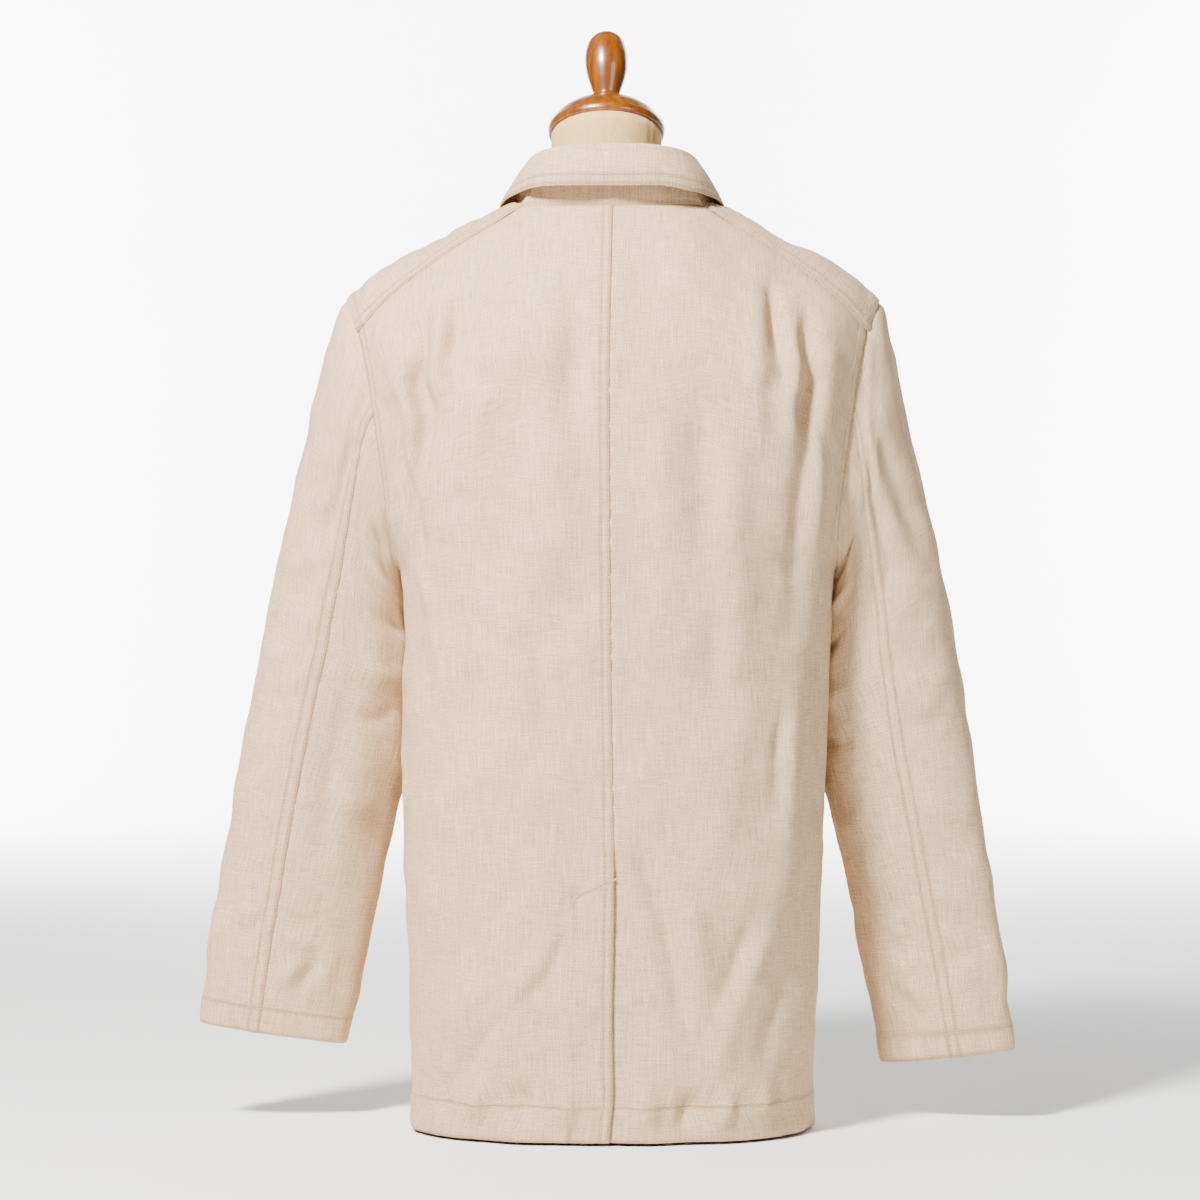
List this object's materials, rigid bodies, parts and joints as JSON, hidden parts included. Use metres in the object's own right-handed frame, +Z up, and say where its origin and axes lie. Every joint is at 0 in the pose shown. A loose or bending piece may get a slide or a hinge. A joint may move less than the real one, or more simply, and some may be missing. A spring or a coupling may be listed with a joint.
{
  "type": "chore jacket on a limbless dress form",
  "caption": "Linen chore jacket with a turned-down collar, two-piece sleeves, hip patch pockets and a back vent, worn by a limbless dress form with a turned wooden neck cap and finial.",
  "frame": {"origin": "middle of the flat underside of the form's foot, on the surface that the form stands on", "axes": "+Z up; -Y towards the jacket's front, +Y towards its back; +X towards the wearer's left"},
  "size_m": [0.723, 0.283, 0.9671],
  "materials": {
    "linen": "matt, slubby plain weave",
    "buttons": "satin, horn-like",
    "form_cover": "matt calico",
    "form_wood": "gloss varnish"
  },
  "bodies": {
    "root": {"back_left": "linen", "back_right": "linen", "front_left": "linen", "front_right": "linen", "top_sleeve_left": "linen", "top_sleeve_right": "linen", "under_sleeve_left": "linen", "under_sleeve_right": "linen", "pocket_hip_left": "linen", "pocket_hip_right": "linen", "collar_stand": "linen", "collar_fall": "linen", "button_1": "buttons", "button_2": "buttons", "button_3": "buttons", "button_4": "buttons", "button_5": "buttons", "form_torso": "form_cover", "form_neck_cap": "form_wood", "form_finial": "form_wood", "form_foot": "form_wood"}
  },
  "joints": []
}
